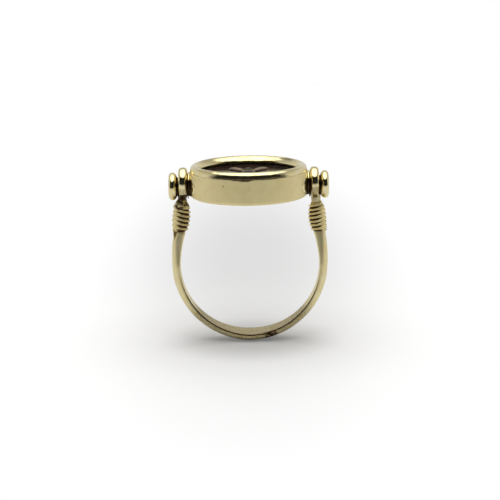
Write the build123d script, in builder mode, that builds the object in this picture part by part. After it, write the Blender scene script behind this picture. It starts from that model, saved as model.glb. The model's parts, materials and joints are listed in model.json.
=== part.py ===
from build123d import *

import os
from math import atan2, cos, degrees, hypot, radians, sin, sqrt, tan

# A swivel finger ring, in millimetres. A round drum bezel holds a carved stone
# and turns over between two pivot eyes on the shank. The origin is the centre of
# the finger hole, +X runs along the pivot pins, +Y along the finger, +Z to the bezel.

# --- finger hole and hoop ---
FINGER_RADIUS = 8.65            # 17.3 mm inside, the round part of the hoop
HOOP_THICKNESS_BOTTOM = 0.86
HOOP_THICKNESS_SIDE = 1.02
HOOP_WIDTH_BOTTOM = 3.90
HOOP_WIDTH_SIDE = 2.30
HOOP_EDGE_ROUND = 0.30          # rounding of the band's inner edges
ARM_THICKNESS = 1.30            # where the arm goes into its wire wrap
ARM_WIDTH = 1.35
ARM_EDGE_ROUND = 0.55
BORE_STOCK = 0.04               # left inside the band for the finger bore to clear

# --- wire wraps ---
WRAP_WIRE_RADIUS = 0.25
WRAP_PITCH = 0.54
WRAP_TURNS = 6                  # whole turns: the top end stays outboard, clear of the bead
WRAP_BASE_GAP = 0.12            # first turn above the arm's shoulder
WRAP_CLEARANCE = 0.02           # wire to post
WRAP_BORE_CLEARANCE = 0.265     # lowest turn outside the finger bore
TAIL_LENGTH = 1.30              # left wire's end, laid down the outside of its arm
TAIL_RADIUS = 0.18
TAIL_TIP_RADIUS = 0.06
POST_RADIUS = 0.58

# --- pivots ---
AXIS_ABOVE_DRUM_BOTTOM = 1.25
PIN_RADIUS = 0.45
PIN_RUNNING_CLEARANCE = 0.04    # pin in its eye
SOLDER_CLEARANCE = 0.01         # pin in the pieces it is soldered or riveted to
PIN_HEAD_RADIUS = 0.72
PIN_HEAD_THICKNESS = 0.35
COLLAR_PLAY = 0.10              # collar to eye
CAP_PLAY = 0.186                # eye, or its leaning stem, to end cap
EYE_THICKNESS = 1.00
EYE_RADIUS = 1.90
EYE_RISE = 0.32                 # eye plate's centre above the pivot axis
EYE_EDGE_ROUND = 0.38
EYE_STEM_TOP_RADIUS = 0.40
WRAP_TOP_BELOW_AXIS = 1.97

# --- end caps ---
CAP_RADIUS = 1.72
CAP_THICKNESS = 1.12
CAP_FACE_RADIUS = 0.95          # flat middle of each dome
CAP_RIM = 0.12                  # straight rim left between the domes
CAP_BORE_DEPTH = 0.70

# --- bezel ---
DRUM_RADIUS = 7.25
DRUM_WALL = 0.60
DRUM_HEIGHT = 3.25
DRUM_FOOT_ROUND = 0.45
RIM_RADIUS = 0.70               # half-round bead
SEAM_GROOVE_RADIUS = 0.09       # fine groove where the bead meets the wall
BACK_THICKNESS = 0.45
BACK_EDGE_CHAMFER = 0.08
STONE_CLEARANCE = 0.05
STONE_EDGE_THICKNESS = 0.75
STONE_DISH = 0.18               # how far the carved field lies under the stone's edge
STONE_EDGE_WIDTH = 0.95
SEAT_WALL = 0.60
SEAT_INSET = 0.50               # seat ring in from the drum wall, to clear the pin heads

# --- collars ---
COLLAR_RADIUS = 1.49
COLLAR_RISE = 0.30              # collar's and saddle's centre above the pivot axis
COLLAR_REACH = 0.25             # collar's face out from the drum wall
COLLAR_EDGE_ROUND = 0.12
SADDLE_THICKNESS = 0.20
SADDLE_HALF_LENGTH = 3.15
SADDLE_HALF_HEIGHT = 1.49

# --- carving: a rosette, petals round a beaded boss ---
PETALS = 6
PETAL_HEIGHT = 0.30
PETAL_LENGTH = 3.30
PETAL_WIDTH = 1.75
PETAL_RING_RADIUS = 2.75
BOSS_RADIUS = 0.95
BOSS_HEIGHT = 0.42

# --- places that follow from the sizes above ---
DRUM_BOTTOM = FINGER_RADIUS
PIVOT_HEIGHT = DRUM_BOTTOM + AXIS_ABOVE_DRUM_BOTTOM
WALL_TOP = DRUM_BOTTOM + DRUM_HEIGHT
DRUM_INNER_RADIUS = DRUM_RADIUS - DRUM_WALL
COLLAR_FACE = DRUM_RADIUS + COLLAR_REACH
COLLAR_CENTRE = PIVOT_HEIGHT + COLLAR_RISE
EYE_INNER_FACE = COLLAR_FACE + COLLAR_PLAY
EYE_OUTER_FACE = EYE_INNER_FACE + EYE_THICKNESS
EYE_CENTRE = EYE_INNER_FACE + EYE_THICKNESS / 2
HEAD_SEAT = sqrt(DRUM_INNER_RADIUS**2 - PIN_HEAD_RADIUS**2)

SIDE_CENTRE = FINGER_RADIUS + HOOP_THICKNESS_SIDE / 2
HELIX_RADIUS = POST_RADIUS + WRAP_CLEARANCE + WRAP_WIRE_RADIUS
WRAP_HEIGHT = WRAP_PITCH * WRAP_TURNS + 2 * WRAP_WIRE_RADIUS
POST_FOOT_Z = PIVOT_HEIGHT - WRAP_TOP_BELOW_AXIS - WRAP_HEIGHT - WRAP_BASE_GAP
LOWEST_TURN_Z = POST_FOOT_Z + WRAP_BASE_GAP + WRAP_WIRE_RADIUS + WRAP_PITCH / 2
WRAP_INNER_SIDE = sqrt((FINGER_RADIUS + WRAP_BORE_CLEARANCE) ** 2 - LOWEST_TURN_Z**2)
POST_FOOT_X = WRAP_INNER_SIDE + HELIX_RADIUS + WRAP_WIRE_RADIUS
POST_ANGLE = atan2(POST_FOOT_X - EYE_CENTRE, PIVOT_HEIGHT - POST_FOOT_Z)
POST_JOINT = WRAP_HEIGHT / 2    # where the eye's stem butts on the arm's post

STEM_OUTER_SIDE = EYE_CENTRE + CAP_FACE_RADIUS * tan(POST_ANGLE) + EYE_STEM_TOP_RADIUS / cos(POST_ANGLE)
CAP_INNER_FACE = max(EYE_OUTER_FACE, STEM_OUTER_SIDE) + CAP_PLAY
CAP_OUTER_FACE = CAP_INNER_FACE + CAP_THICKNESS
PIN_TIP = CAP_INNER_FACE + CAP_BORE_DEPTH

STONE_TOP = WALL_TOP - STONE_CLEARANCE
STONE_RADIUS = DRUM_INNER_RADIUS - STONE_CLEARANCE
STONE_FIELD_RADIUS = STONE_RADIUS - STONE_EDGE_WIDTH
STONE_FIELD = STONE_TOP - STONE_DISH
SEAT_RADIUS = DRUM_INNER_RADIUS - SEAT_INSET
SEAT_TOP = STONE_TOP - STONE_EDGE_THICKNESS
BACK_TOP = DRUM_BOTTOM + BACK_THICKNESS

SIDES = (("left", -1), ("right", 1))

os.makedirs("parts", exist_ok=True)


def save(part, name):
    """Label a finished piece and write it as its own STEP file."""
    part.label = name
    export_step(part, f"parts/{name}.step")


def post_plane(side, along):
    """Plane across a post, a distance along it from its foot."""
    lean = Vector(-side * sin(POST_ANGLE), 0, cos(POST_ANGLE))
    outward = Vector(side * cos(POST_ANGLE), 0, sin(POST_ANGLE))
    foot = Vector(side * POST_FOOT_X, 0, POST_FOOT_Z)
    return Plane(origin=foot + lean * along, x_dir=outward, z_dir=lean)


def side_plane(side, x):
    """Plane square to the pivot axis, facing outwards, with its origin on the axis."""
    return Plane(origin=(side * x, 0, PIVOT_HEIGHT), x_dir=(0, side, 0), z_dir=(side, 0, 0))


# --- hoop: band sections lofted round the finger, up to the two posts ---
def lower_stations(count):
    """Band sections of the round half, from the side down to just past the bottom."""
    for step in range(count):
        turn = 90.0 * step / count
        share = sin(radians(turn)) ** 2
        thickness = HOOP_THICKNESS_BOTTOM + (HOOP_THICKNESS_SIDE - HOOP_THICKNESS_BOTTOM) * share
        width = HOOP_WIDTH_BOTTOM + (HOOP_WIDTH_SIDE - HOOP_WIDTH_BOTTOM) * share
        reach = FINGER_RADIUS + thickness / 2
        yield (reach * sin(radians(turn)), -reach * cos(radians(turn)), turn, width, thickness,
               HOOP_EDGE_ROUND)


def arm_station(share):
    """Band section of an arm: an arc that leaves the side upright and ends at the post."""
    inset = SIDE_CENTRE - POST_FOOT_X
    half_turn = atan2(inset, POST_FOOT_Z)
    chord = hypot(inset, POST_FOOT_Z)
    bend = 2 * half_turn * share
    if abs(half_turn) < 1e-6:
        x, z = SIDE_CENTRE, chord * share
    else:
        radius = chord / (2 * sin(half_turn))
        x, z = SIDE_CENTRE - radius * (1 - cos(bend)), radius * sin(bend)
    width = HOOP_WIDTH_SIDE + (ARM_WIDTH - HOOP_WIDTH_SIDE) * share
    thickness = HOOP_THICKNESS_SIDE + (ARM_THICKNESS - HOOP_THICKNESS_SIDE) * share
    edge = HOOP_EDGE_ROUND + (ARM_EDGE_ROUND - HOOP_EDGE_ROUND) * share
    return x, z, 90.0 + degrees(bend), width, thickness, edge


def band_section(side, x, z, turn, width, thickness, edge):
    """Sketch one D section: flat towards the finger, crowned outside."""
    angle = radians(side * turn)
    plane = Plane(origin=(side * x, 0, z), x_dir=(0, 1, 0), z_dir=(-cos(angle), 0, -sin(angle)))
    half = width / 2
    corner = min(edge, 0.45 * width, 0.45 * thickness)
    floor = -thickness / 2 - BORE_STOCK
    with BuildSketch(plane) as section:
        with BuildLine():
            flat = Line((-half + corner, floor), (half - corner, floor))
            near = JernArc(flat @ 1, (1, 0), corner, 90)
            far = JernArc(flat @ 0, (-1, 0), corner, -90)
            ThreePointArc(near @ 1, (0, thickness / 2), far @ 1)
        make_face()
    return section.sketch


right_half = list(lower_stations(7)) + [arm_station(step / 4) for step in range(5)]
left_half = [station for station in reversed(right_half) if station[2] > 0]

with BuildPart() as shank_hoop:
    sections = [band_section(-1, *station) for station in left_half]
    sections += [band_section(1, *station) for station in right_half]
    loft(sections)
    with BuildSketch(Plane.XZ):
        Circle(FINGER_RADIUS)
    extrude(amount=HOOP_WIDTH_BOTTOM, both=True, mode=Mode.SUBTRACT)
    for name, side in SIDES:
        with BuildSketch(post_plane(side, -ARM_THICKNESS / 3)):
            Circle(POST_RADIUS)
        extrude(amount=ARM_THICKNESS / 3 + POST_JOINT)
save(shank_hoop.part, "shank_hoop")

# --- wire wraps: round wire coiled on each post ---
def coil_turns(left_handed):
    """Round wire coiled up +Z, with its first turn's start on +X."""
    with BuildPart() as turns:
        with BuildLine() as course:
            Helix(WRAP_PITCH, WRAP_PITCH * WRAP_TURNS, HELIX_RADIUS, lefthand=left_handed)
        with BuildSketch(Plane(origin=course.line @ 0, z_dir=course.line % 0)):
            Circle(WRAP_WIRE_RADIUS)
        sweep(is_frenet=True)
    return turns.part


for name, side in SIDES:
    coil = coil_turns(side < 0)
    with BuildPart() as wire_wrap:
        with Locations(post_plane(side, WRAP_BASE_GAP + WRAP_WIRE_RADIUS)):
            add(coil)
        if side < 0:
            x, z, turn, width, thickness, edge = arm_station(1 - TAIL_LENGTH / POST_FOOT_Z)
            reach = thickness / 2 + WRAP_CLEARANCE + TAIL_TIP_RADIUS
            tip = Vector(side * (x + reach * sin(radians(turn))), 0, z - reach * cos(radians(turn)))
            root = (post_plane(side, WRAP_BASE_GAP + WRAP_WIRE_RADIUS) * Pos(HELIX_RADIUS, 0, 0)).position
            run = (tip - root).normalized()
            with BuildSketch(Plane(origin=root, z_dir=run)):
                Circle(TAIL_RADIUS)
            with BuildSketch(Plane(origin=tip, z_dir=run)):
                Circle(TAIL_TIP_RADIUS)
            loft()
    save(wire_wrap.part, f"{name}_wire_wrap")

# --- pivot eyes: flattened, drilled plate on a stem that butts on the post ---
for name, side in SIDES:
    with BuildPart() as pivot_eye:
        with BuildSketch(side_plane(side, EYE_INNER_FACE)):
            with Locations((0, EYE_RISE)):
                Circle(EYE_RADIUS)
        extrude(amount=EYE_THICKNESS)
        fillet(pivot_eye.edges().filter_by(GeomType.CIRCLE), EYE_EDGE_ROUND)
        stem_length = (PIVOT_HEIGHT - POST_FOOT_Z) / cos(POST_ANGLE) - POST_JOINT
        cone_start = WRAP_HEIGHT + WRAP_BASE_GAP - POST_JOINT
        cone_end = stem_length - PIN_RADIUS - EYE_STEM_TOP_RADIUS
        with BuildSketch(post_plane(side, POST_JOINT)):
            Circle(POST_RADIUS)
        extrude(amount=cone_start)
        with BuildSketch(post_plane(side, POST_JOINT + cone_start)):
            Circle(POST_RADIUS)
        with BuildSketch(post_plane(side, POST_JOINT + cone_end)):
            Circle(EYE_STEM_TOP_RADIUS)
        loft()
        with BuildSketch(side_plane(side, EYE_INNER_FACE - EYE_THICKNESS)):
            Circle(PIN_RADIUS + PIN_RUNNING_CLEARANCE)
        extrude(amount=3 * EYE_THICKNESS, mode=Mode.SUBTRACT)
    save(pivot_eye.part, f"{name}_pivot_eye")

# --- bezel: wall, bead, back plate, seat ring ---
with BuildPart() as bezel_drum:
    with BuildSketch(Plane.XY.offset(DRUM_BOTTOM)):
        Circle(DRUM_RADIUS)
        Circle(DRUM_INNER_RADIUS, mode=Mode.SUBTRACT)
    extrude(amount=DRUM_HEIGHT)
    foot = bezel_drum.edges().filter_by(GeomType.CIRCLE).group_by(Axis.Z)[0].sort_by(SortBy.RADIUS)[-1]
    fillet(foot, DRUM_FOOT_ROUND)
    with BuildSketch(Plane.XZ):
        with Locations((DRUM_RADIUS, WALL_TOP)):
            Circle(SEAM_GROOVE_RADIUS)
    revolve(axis=Axis.Z, mode=Mode.SUBTRACT)
    with BuildSketch(side_plane(-1, COLLAR_FACE)):
        Circle(PIN_RADIUS + SOLDER_CLEARANCE)
    extrude(amount=-2 * COLLAR_FACE, mode=Mode.SUBTRACT)
save(bezel_drum.part, "bezel_drum")

with BuildPart() as bezel_rim:
    with BuildSketch(Plane.XZ):
        with BuildLine():
            base = Line((DRUM_RADIUS - 2 * RIM_RADIUS, WALL_TOP), (DRUM_RADIUS, WALL_TOP))
            ThreePointArc(base @ 0, (DRUM_RADIUS - RIM_RADIUS, WALL_TOP + RIM_RADIUS), base @ 1)
        make_face()
        with Locations((DRUM_RADIUS, WALL_TOP)):
            Circle(SEAM_GROOVE_RADIUS, mode=Mode.SUBTRACT)
    revolve(axis=Axis.Z)
save(bezel_rim.part, "bezel_rim")

with BuildPart() as back_plate:
    with BuildSketch(Plane.XY.offset(DRUM_BOTTOM)):
        Circle(DRUM_INNER_RADIUS)
    extrude(amount=BACK_THICKNESS)
    chamfer(back_plate.edges().group_by(Axis.Z)[0], BACK_EDGE_CHAMFER)
save(back_plate.part, "back_plate")

with BuildPart() as stone_seat_ring:
    with BuildSketch(Plane.XY.offset(BACK_TOP)):
        Circle(SEAT_RADIUS)
        Circle(SEAT_RADIUS - SEAT_WALL, mode=Mode.SUBTRACT)
    extrude(amount=SEAT_TOP - BACK_TOP)
save(stone_seat_ring.part, "stone_seat_ring")

# --- carved stone: a dished disc with a rosette in low relief ---
with BuildPart() as carved_stone:
    with BuildSketch(Plane.XY.offset(SEAT_TOP)):
        Circle(STONE_RADIUS)
    extrude(amount=STONE_EDGE_THICKNESS)
    with BuildSketch(Plane.XY.offset(STONE_TOP)):
        Circle(STONE_FIELD_RADIUS)
    extrude(amount=-STONE_DISH, taper=45, mode=Mode.SUBTRACT)
    with BuildSketch(Plane.XY.offset(STONE_FIELD)):
        with PolarLocations(PETAL_RING_RADIUS, PETALS):
            Ellipse(PETAL_LENGTH / 2, PETAL_WIDTH / 2)
    extrude(amount=PETAL_HEIGHT, taper=35)
    with BuildSketch(Plane.XY.offset(STONE_FIELD)):
        Circle(BOSS_RADIUS)
    extrude(amount=BOSS_HEIGHT, taper=25)
save(carved_stone.part, "carved_stone")

# --- collars: a saddle bent to the wall under a round collar ---
for name, side in SIDES:
    with BuildPart() as saddle:
        with BuildSketch(side_plane(side, 0)):
            with Locations((0, COLLAR_RISE)):
                Ellipse(SADDLE_HALF_LENGTH, SADDLE_HALF_HEIGHT)
        extrude(amount=COLLAR_FACE)
        with BuildSketch(Plane.XY.offset(COLLAR_CENTRE - SADDLE_HALF_HEIGHT)):
            Circle(DRUM_RADIUS + SADDLE_THICKNESS)
        extrude(amount=2 * SADDLE_HALF_HEIGHT, mode=Mode.INTERSECT)
    with BuildPart() as collar:
        with BuildSketch(side_plane(side, 0)):
            with Locations((0, COLLAR_RISE)):
                Circle(COLLAR_RADIUS)
        extrude(amount=COLLAR_FACE)
        fillet(collar.faces().sort_by(Axis.X)[-1 if side > 0 else 0].edges(), COLLAR_EDGE_ROUND)
        add(saddle.part)
        with BuildSketch(Plane.XY.offset(DRUM_BOTTOM - DRUM_HEIGHT)):
            Circle(DRUM_RADIUS)
        extrude(amount=3 * DRUM_HEIGHT, mode=Mode.SUBTRACT)
        with BuildSketch(side_plane(side, 0)):
            Circle(PIN_RADIUS + SOLDER_CLEARANCE)
        extrude(amount=CAP_OUTER_FACE, mode=Mode.SUBTRACT)
    save(collar.part, f"{name}_collar")

# --- pivot pins: headed inside the drum, riveted into the caps ---
for name, side in SIDES:
    with BuildPart() as pivot_pin:
        with BuildSketch(side_plane(side, HEAD_SEAT)):
            Circle(PIN_HEAD_RADIUS)
        extrude(amount=-PIN_HEAD_THICKNESS)
        with BuildSketch(side_plane(side, HEAD_SEAT)):
            Circle(PIN_RADIUS)
        extrude(amount=PIN_TIP - HEAD_SEAT)
    save(pivot_pin.part, f"{name}_pivot_pin")

# --- end caps: domed both sides, blind bore for the pin ---
with BuildPart() as cap_pattern:
    with BuildSketch(Plane.XZ):
        with BuildLine():
            middle = CAP_THICKNESS / 2
            inner = Line((0, 0), (CAP_FACE_RADIUS, 0))
            outer = Line((0, CAP_THICKNESS), (CAP_FACE_RADIUS, CAP_THICKNESS))
            inner_dome = TangentArc(inner @ 1, (CAP_RADIUS, middle - CAP_RIM / 2), tangent=(1, 0))
            outer_dome = TangentArc(outer @ 1, (CAP_RADIUS, middle + CAP_RIM / 2), tangent=(1, 0))
            Line(inner_dome @ 1, outer_dome @ 1)
            Line(inner @ 0, outer @ 0)
        make_face()
    revolve(axis=Axis.Z)

for name, side in SIDES:
    with BuildPart() as end_cap:
        with Locations(side_plane(side, CAP_INNER_FACE)):
            add(cap_pattern.part)
        with BuildSketch(side_plane(side, CAP_INNER_FACE)):
            Circle(PIN_RADIUS + SOLDER_CLEARANCE)
        extrude(amount=CAP_BORE_DEPTH, mode=Mode.SUBTRACT)
    save(end_cap.part, f"{name}_end_cap")
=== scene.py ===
import json
from collections import namedtuple
from math import atan2, cos, hypot, pi, radians, sin, sqrt

import bmesh
import bpy
import numpy as np
from mathutils import Euler, Matrix, Vector, noise


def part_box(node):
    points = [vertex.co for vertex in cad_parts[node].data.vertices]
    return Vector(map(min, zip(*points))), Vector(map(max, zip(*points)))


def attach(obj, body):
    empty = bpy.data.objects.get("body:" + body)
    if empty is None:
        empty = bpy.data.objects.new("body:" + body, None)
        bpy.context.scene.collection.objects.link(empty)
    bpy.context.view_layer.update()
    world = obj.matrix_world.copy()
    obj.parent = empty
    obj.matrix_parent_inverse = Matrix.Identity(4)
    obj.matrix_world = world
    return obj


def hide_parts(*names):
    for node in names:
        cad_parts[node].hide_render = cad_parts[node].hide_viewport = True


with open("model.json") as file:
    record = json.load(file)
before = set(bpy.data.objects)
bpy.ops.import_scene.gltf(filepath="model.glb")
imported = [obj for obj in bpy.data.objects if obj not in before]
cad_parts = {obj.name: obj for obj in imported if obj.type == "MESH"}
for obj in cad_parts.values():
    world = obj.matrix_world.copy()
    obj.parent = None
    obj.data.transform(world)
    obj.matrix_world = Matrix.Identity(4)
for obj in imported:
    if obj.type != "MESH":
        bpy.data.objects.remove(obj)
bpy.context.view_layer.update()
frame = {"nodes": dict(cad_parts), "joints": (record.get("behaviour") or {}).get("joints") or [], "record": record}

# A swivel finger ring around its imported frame. All lengths below are millimetres in the frame's
# own axes, +X along the pivot pins, +Y along the finger, +Z to the bezel; MM makes them metres.
MM = 0.001


def node_box(node):
    """Lowest and highest corner of a CAD node, in millimetres."""
    low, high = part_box(node)
    return low / MM, high / MM


# --- sizes and places read from the frame ---
FINGER_RADIUS = frame["record"]["mounts"][0]["dims"]["r_mm"]
AXIS_Z = frame["joints"][0]["pos_m"][2] / MM
hoop_low, hoop_high = node_box("shank_hoop")
drum_low, drum_high = node_box("bezel_drum")
back_low, back_high = node_box("back_plate")
stone_low, stone_high = node_box("carved_stone")
eye_low, eye_high = node_box("right_pivot_eye")
cap_low, cap_high = node_box("right_end_cap")
collar_low, collar_high = node_box("right_collar")

DRUM_RADIUS = drum_high.x
WALL_TOP = drum_high.z
BEAD_RADIUS = node_box("bezel_rim")[1].z - WALL_TOP
BEAD_CENTRE = DRUM_RADIUS - BEAD_RADIUS
STONE_RADIUS = stone_high.x
EYE_RADIUS = eye_high.y
EYE_Z = eye_high.z - EYE_RADIUS
EYE_INNER_FACE = eye_low.x
CAP_INNER_FACE = cap_low.x
CAP_OUTER_FACE = cap_high.x
CAP_RADIUS = cap_high.y
COLLAR_FACE = collar_high.x
COLLAR_RADIUS = (collar_high.z - collar_low.z) / 2
COLLAR_Z = (collar_high.z + collar_low.z) / 2
SADDLE_HALF_LENGTH = collar_high.y

# --- sizes that the frame's boxes don't give and that several pieces share ---
HOOP_EXTRA_BOTTOM = 0.10  # the worn band is a little thicker than the frame's at its foot
FLOOR_Z = hoop_low.z - HOOP_EXTRA_BOTTOM
HOOP_THICKNESS_SIDE = 1.02
POST_RADIUS = 0.58
PIN_RADIUS = 0.45
EYE_PLATE = 1.00  # the frame's flat plate
EYE_THICKNESS = 1.12  # the worn, swollen eye around it

# the frame's own wire wraps, which set where an arm ends and its post begins
WRAP_PITCH = 0.54
WRAP_TURNS = 6
WRAP_TOP_BELOW_AXIS = 1.97
WRAP_BORE_CLEARANCE = 0.265
WRAP_END_GAP = 0.12  # from the arm's shoulder to the first turn
HELIX_RADIUS = 0.85
HELIX_WIRE_RADIUS = 0.25

# --- the leaning posts, from the arm's end to the pivot axis ---
SIDE_CENTRE = FINGER_RADIUS + HOOP_THICKNESS_SIDE / 2
EYE_CENTRE_X = EYE_INNER_FACE + EYE_PLATE / 2
WRAP_HEIGHT = WRAP_PITCH * WRAP_TURNS + 2 * HELIX_WIRE_RADIUS
POST_FOOT_Z = AXIS_Z - WRAP_TOP_BELOW_AXIS - WRAP_HEIGHT - WRAP_END_GAP
LOWEST_TURN_Z = POST_FOOT_Z + WRAP_END_GAP + HELIX_WIRE_RADIUS + WRAP_PITCH / 2
WRAP_INNER_SIDE = sqrt((FINGER_RADIUS + WRAP_BORE_CLEARANCE) ** 2 - LOWEST_TURN_Z**2)
POST_FOOT_X = WRAP_INNER_SIDE + HELIX_RADIUS + HELIX_WIRE_RADIUS
POST_ANGLE = atan2(POST_FOOT_X - EYE_CENTRE_X, AXIS_Z - POST_FOOT_Z)

SIDES = (("left", -1), ("right", 1))


def wobble(x, y=0.0, z=0.0):
    """Smooth noise from -1 to 1."""
    return noise.noise(Vector((x, y, z)))


def clamp(value):
    return min(1.0, max(0.0, value))


def blend(start, end, share):
    return start + (end - start) * share


def full_turn(count):
    """Angles evenly round a full turn."""
    return [2 * pi * k / count for k in range(count)]


def shares(count):
    """Even steps from 0 to 1."""
    return [step / count for step in range(count + 1)]


# --- materials ---
class NodeTree:
    """Adds nodes to a tree and, but for add, gives back the output of what it made."""

    def __init__(self, tree):
        self.nodes = tree.nodes
        self.link = tree.links.new

    def add(self, kind):
        return self.nodes.new("ShaderNode" + kind)

    def mapped(self, place, scale, shift=(0, 0, 0)):
        mapping = self.add("Mapping")
        mapping.inputs["Location"].default_value = shift
        mapping.inputs["Scale"].default_value = scale
        self.link(place, mapping.inputs["Vector"])
        return mapping.outputs["Vector"]

    def split(self, place):
        """The X, Y and Z of a place, by name."""
        node = self.add("SeparateXYZ")
        self.link(place, node.inputs[0])
        return node.outputs

    def camera_ray(self):
        return self.add("LightPath").outputs["Is Camera Ray"]

    def span(self, value, source, result=(0.0, 1.0)):
        """A smooth step from one result to the other as the value crosses the source range."""
        node = self.add("MapRange")
        node.interpolation_type = "SMOOTHSTEP"
        self.link(value, node.inputs["Value"])
        for socket, number in zip(("From Min", "From Max", "To Min", "To Max"),
                                  (*source, *result)):
            node.inputs[socket].default_value = number
        return node.outputs["Result"]

    def math(self, operation, a, b):
        node = self.add("Math")
        node.operation = operation
        for socket, value in zip(node.inputs, (a, b)):
            if isinstance(value, (int, float)):
                socket.default_value = value
            else:
                self.link(value, socket)
        return node.outputs[0]

    def either(self, switch, on, off):
        """The first value where the switch is 1, the second where it is 0."""
        return self.math("ADD", self.math("MULTIPLY", switch, on),
                         self.math("MULTIPLY", self.math("SUBTRACT", 1.0, switch), off))


class Shader(NodeTree):
    """A material built step by step; lengths in its textures are millimetres."""

    def __init__(self, name):
        self.material = bpy.data.materials.new(name)
        self.material.use_nodes = True
        super().__init__(self.material.node_tree)
        self.bsdf = self.nodes["Principled BSDF"]
        coordinates = self.add("TexCoord")
        self.place = self.mapped(coordinates.outputs["Object"], (1 / MM, 1 / MM, 1 / MM))

    def distance(self, x, y, y_scale):
        """Distance on the floor from a point, with lengths along Y scaled."""
        length = self.add("VectorMath")
        length.operation = "LENGTH"
        flat = self.mapped(self.place, (1, y_scale, 0), (-x, -y * y_scale, 0))
        self.link(flat, length.inputs[0])
        return length.outputs["Value"]

    def noise(self, scale, detail, rough=0.5, place=None):
        """Cloudy noise from 0 to 1; scale is in features per millimetre."""
        texture = self.add("TexNoise")
        texture.inputs["Scale"].default_value = scale
        texture.inputs["Detail"].default_value = detail
        texture.inputs["Roughness"].default_value = rough
        self.link(place or self.place, texture.inputs["Vector"])
        return texture.outputs["Fac"]

    def attribute(self, name):
        node = self.add("Attribute")
        node.attribute_name = name
        return node.outputs["Fac"]

    def mix(self, factor, a, b):
        """A blend of two colours, each a tuple or an output."""
        node = self.add("Mix")
        node.data_type = "RGBA"
        self.link(factor, node.inputs["Factor"])
        for socket, value in zip((node.inputs[6], node.inputs[7]), (a, b)):
            if isinstance(value, tuple):
                socket.default_value = (*value, 1.0)
            else:
                self.link(value, socket)
        return node.outputs[2]

    def bump(self, height, distance, under=None):
        node = self.add("Bump")
        node.inputs["Strength"].default_value = 1.0
        node.inputs["Distance"].default_value = distance * MM
        self.link(height, node.inputs["Height"])
        if under is not None:
            self.link(under, node.inputs["Normal"])
        return node.outputs["Normal"]

    def connect(self, value, socket):
        self.link(value, self.bsdf.inputs[socket])


GOLD = (0.84, 0.715, 0.37)
GOLD_WARM = (0.82, 0.68, 0.33)
GOLD_PALE = (0.84, 0.75, 0.45)
SATIN_PALE = (1.0, 0.87, 0.47)
SATIN_WARM = (0.96, 0.815, 0.41)
# dark brown patina; the same colour also paints shade and dark reflections where the patina attribute asks for it
PATINA_AND_SHADE = (0.055, 0.025, 0.009)

STONE_DARK = (0.020, 0.011, 0.008)
STONE_VEIN = (0.045, 0.026, 0.016)
# the colour of the painted highlight on the carving's high places
STONE_HIGHLIGHT = (0.30, 0.22, 0.145)
STONE_ROUGHNESS = (0.20, 0.28)
STONE_IOR = 1.50
STONE_SHINE_Y = (-1.5, 3.0)  # a painted sheen: the stone shines more at its front and less towards its back
STONE_SHINE = (0.14, 0.03)

EVEN_GRAIN = (1.0, 1.0, 1.0)
RING_GRAIN = (0.12, 0.12, 1.0)  # brush marks that run round the bezel
LONG_GRAIN = (1.0, 0.1, 1.0)  # brush marks along the finger


def gold(name, colours, roughness, grain=EVEN_GRAIN, scratch=0.0012, dents=0.006, metal=1.0):
    """Pale yellow gold: cloudy colour, uneven polish, fine scratches, and dark patina, painted shade and painted
    dark reflections where a mesh's patina attribute says so. Scratches and dents are depths in millimetres."""
    s = Shader(name)
    s.bsdf.inputs["Metallic"].default_value = metal
    cloud = s.span(s.noise(scale=0.9, detail=3.0), source=(0.35, 0.68))
    fine = s.noise(scale=7.0, detail=4.0, rough=0.6)
    colour = s.mix(cloud, *colours)
    ragged = s.span(fine, source=(0.25, 0.75), result=(0.75, 1.25))
    # the attribute carries real patina and dirt together with painted shade and painted dark reflections
    edge = s.math("MULTIPLY", s.attribute("patina"), ragged)
    stain_and_shade = s.span(edge, source=(0.15, 0.95))
    s.connect(s.mix(stain_and_shade, colour, PATINA_AND_SHADE), "Base Color")
    polish = s.span(s.noise(scale=1.4, detail=3.0), source=(0.3, 0.75),
                    result=(roughness * 0.9, roughness * 1.15))
    dull = s.math("MULTIPLY", stain_and_shade, 0.25)
    s.connect(s.math("ADD", polish, dull), "Roughness")
    normal = s.bump(s.noise(scale=1.1, detail=2.0), dents)
    lines = s.noise(scale=26.0, detail=2.0, rough=0.55, place=s.mapped(s.place, grain))
    s.connect(s.bump(lines, scratch, under=normal), "Normal")
    return s.material


def stone_material():
    """Dark brown polished stone, its relief lighter on the high places as a painted highlight, with a painted
    sheen that fades towards its back.
    """
    s = Shader("dark_stone_brown")
    veins = s.span(s.noise(scale=0.6, detail=3.0), source=(0.42, 0.66))
    colour = s.mix(veins, STONE_DARK, STONE_VEIN)
    # painted highlight on the carving's high places, in patches
    patches = s.span(s.noise(scale=3.0, detail=2.0), source=(0.3, 0.7), result=(0.5, 1.0))
    painted_highlight = s.math("MULTIPLY", s.attribute("painted_highlight"), patches)
    s.connect(s.mix(painted_highlight, colour, STONE_HIGHLIGHT), "Base Color")
    polish = s.span(s.noise(scale=1.0, detail=1.0), source=(0.3, 0.7), result=STONE_ROUGHNESS)
    s.connect(polish, "Roughness")
    s.bsdf.inputs["IOR"].default_value = STONE_IOR
    # painted sheen: more specular at the front, less towards the back
    shine = s.span(s.split(s.place)["Y"], source=STONE_SHINE_Y, result=STONE_SHINE)
    s.connect(shine, "Specular IOR Level")
    return s.material


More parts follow.
